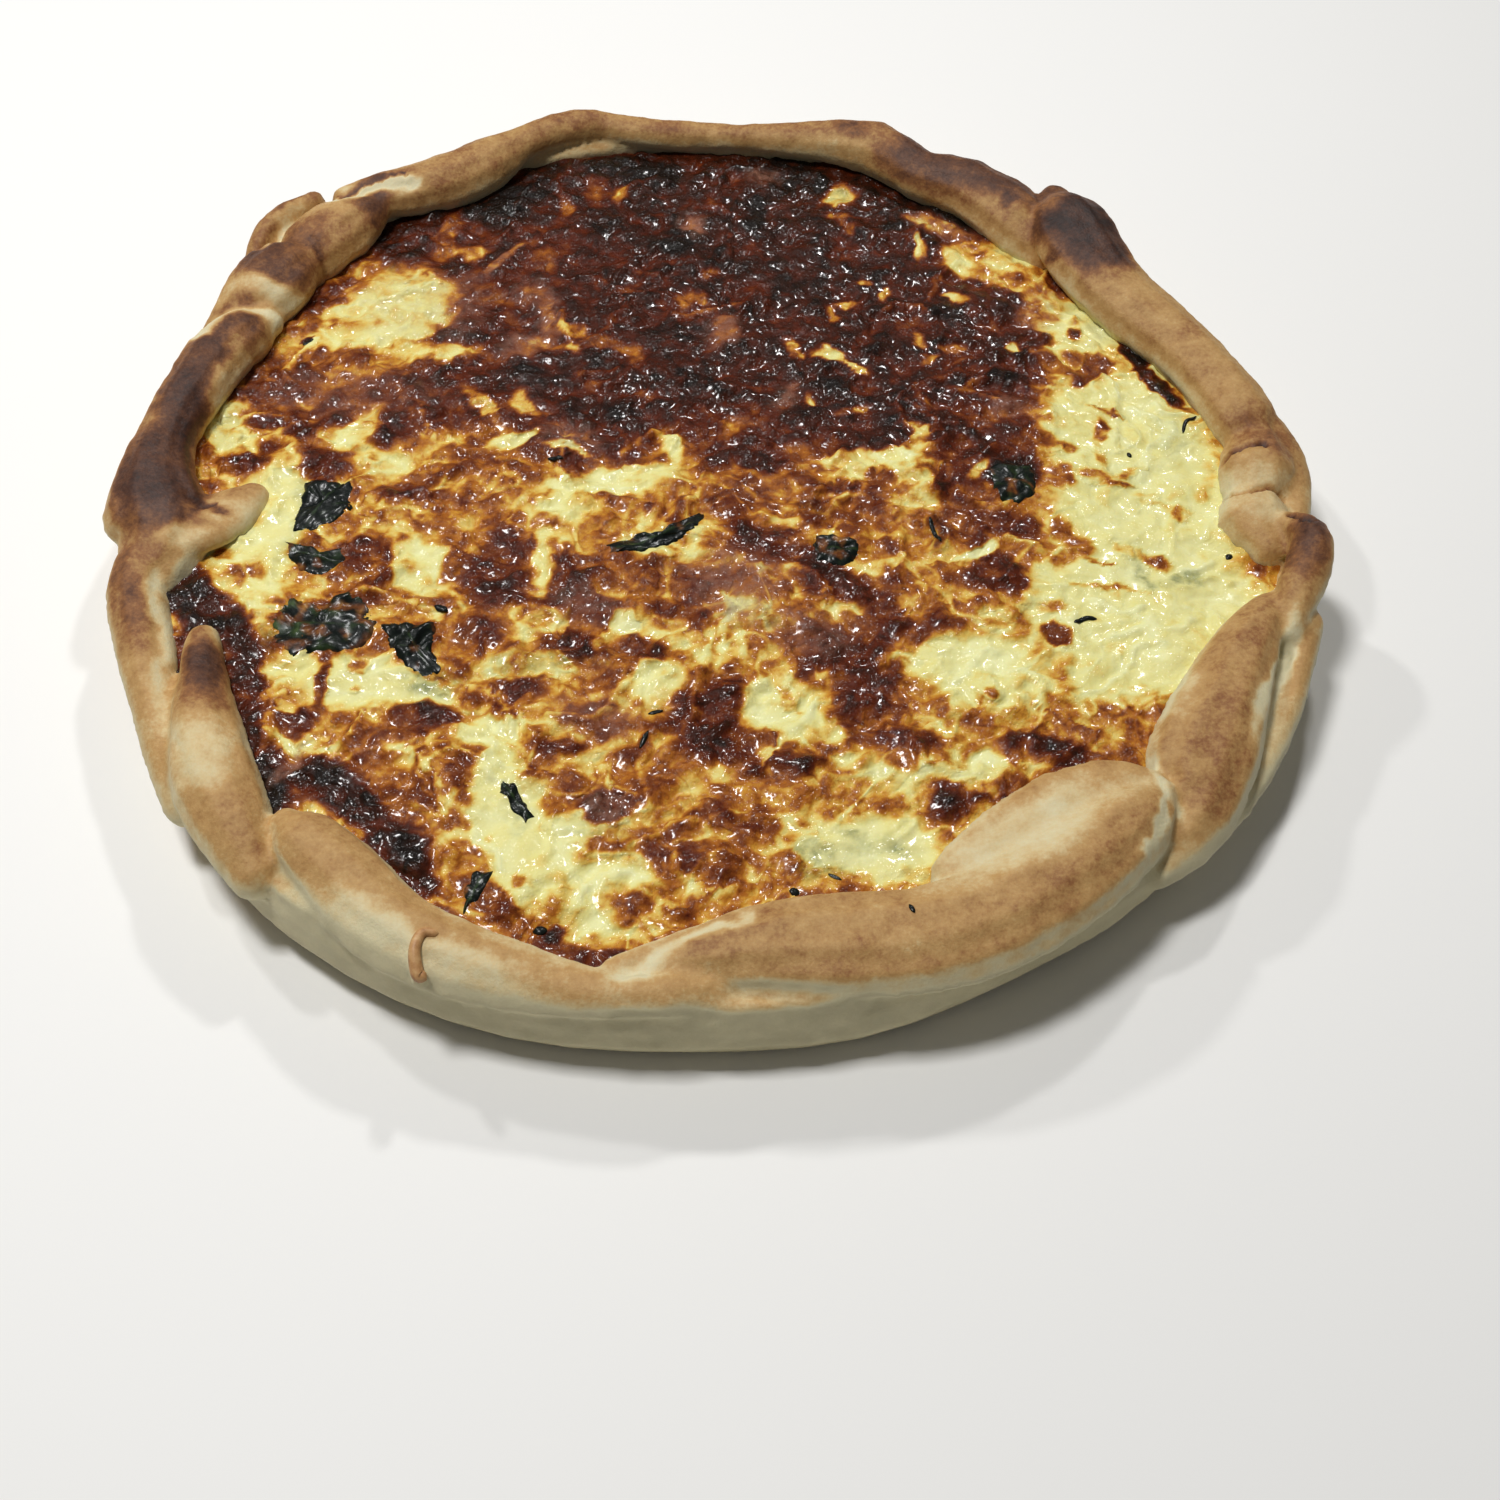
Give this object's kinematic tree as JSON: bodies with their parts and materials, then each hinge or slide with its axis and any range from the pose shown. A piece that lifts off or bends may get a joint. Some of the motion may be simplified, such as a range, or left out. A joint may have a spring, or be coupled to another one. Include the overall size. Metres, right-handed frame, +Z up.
{
  "type": "quiche",
  "caption": "Round open quiche with a hand-folded pastry rim, a browned egg and cheese filling and wilted herb leaves.",
  "frame": {"origin": "the centre of the pastry's flat underside, where it rests", "axes": "+Z up, -Y towards the viewer of the picture, +X to the viewer's right"},
  "size_m": [0.266, 0.2585, 0.0309],
  "materials": {
    "pastry": "baked pastry, matt, golden to dark brown",
    "filling": "baked egg and cheese, moist and oily, cream yellow with dark browned cheese",
    "herb": "wilted dark green leaf"
  },
  "bodies": {
    "root": {"crust": "pastry", "filling": "filling", "leaf_left": "herb", "leaf_left_curl": "herb", "leaf_left_wide": "herb", "leaf_left_dark": "herb", "leaf_middle_long": "herb", "leaf_middle": "herb", "leaf_right_charred": "herb", "leaf_front_small": "herb", "leaf_front_sliver": "herb"}
  },
  "joints": []
}
